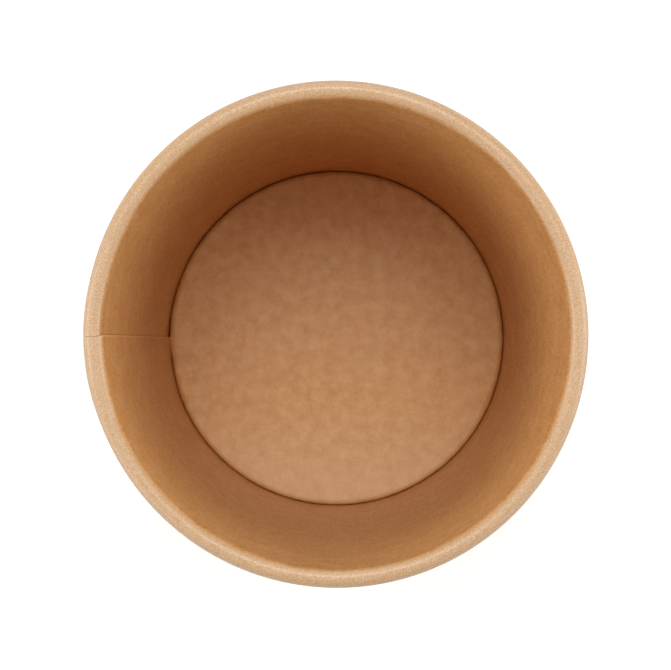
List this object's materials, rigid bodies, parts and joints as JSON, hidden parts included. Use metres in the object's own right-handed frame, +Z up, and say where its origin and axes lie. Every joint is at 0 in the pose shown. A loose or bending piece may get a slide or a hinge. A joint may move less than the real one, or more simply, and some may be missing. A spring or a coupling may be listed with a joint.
{
  "type": "paper soup container",
  "caption": "Tapered round paper soup container, open at the top, with a rolled rim, a lapped side seam and a recessed base.",
  "frame": {"origin": "middle of the foot, on the table that the container stands on", "axes": "+Z up along the container's axis. The inner edge of the side seam is at -X, and the lap lies on the -Y side of it. +Y is the top of the picture, which looks straight down"},
  "size_m": [0.0982, 0.098, 0.0992],
  "materials": {
    "kraft_wall": "satin coated brown kraft board",
    "kraft_base": "satin coated brown kraft board, a little mottled"
  },
  "bodies": {
    "root": {"side_wall": "kraft_wall", "base_disc": "kraft_base"}
  },
  "joints": []
}
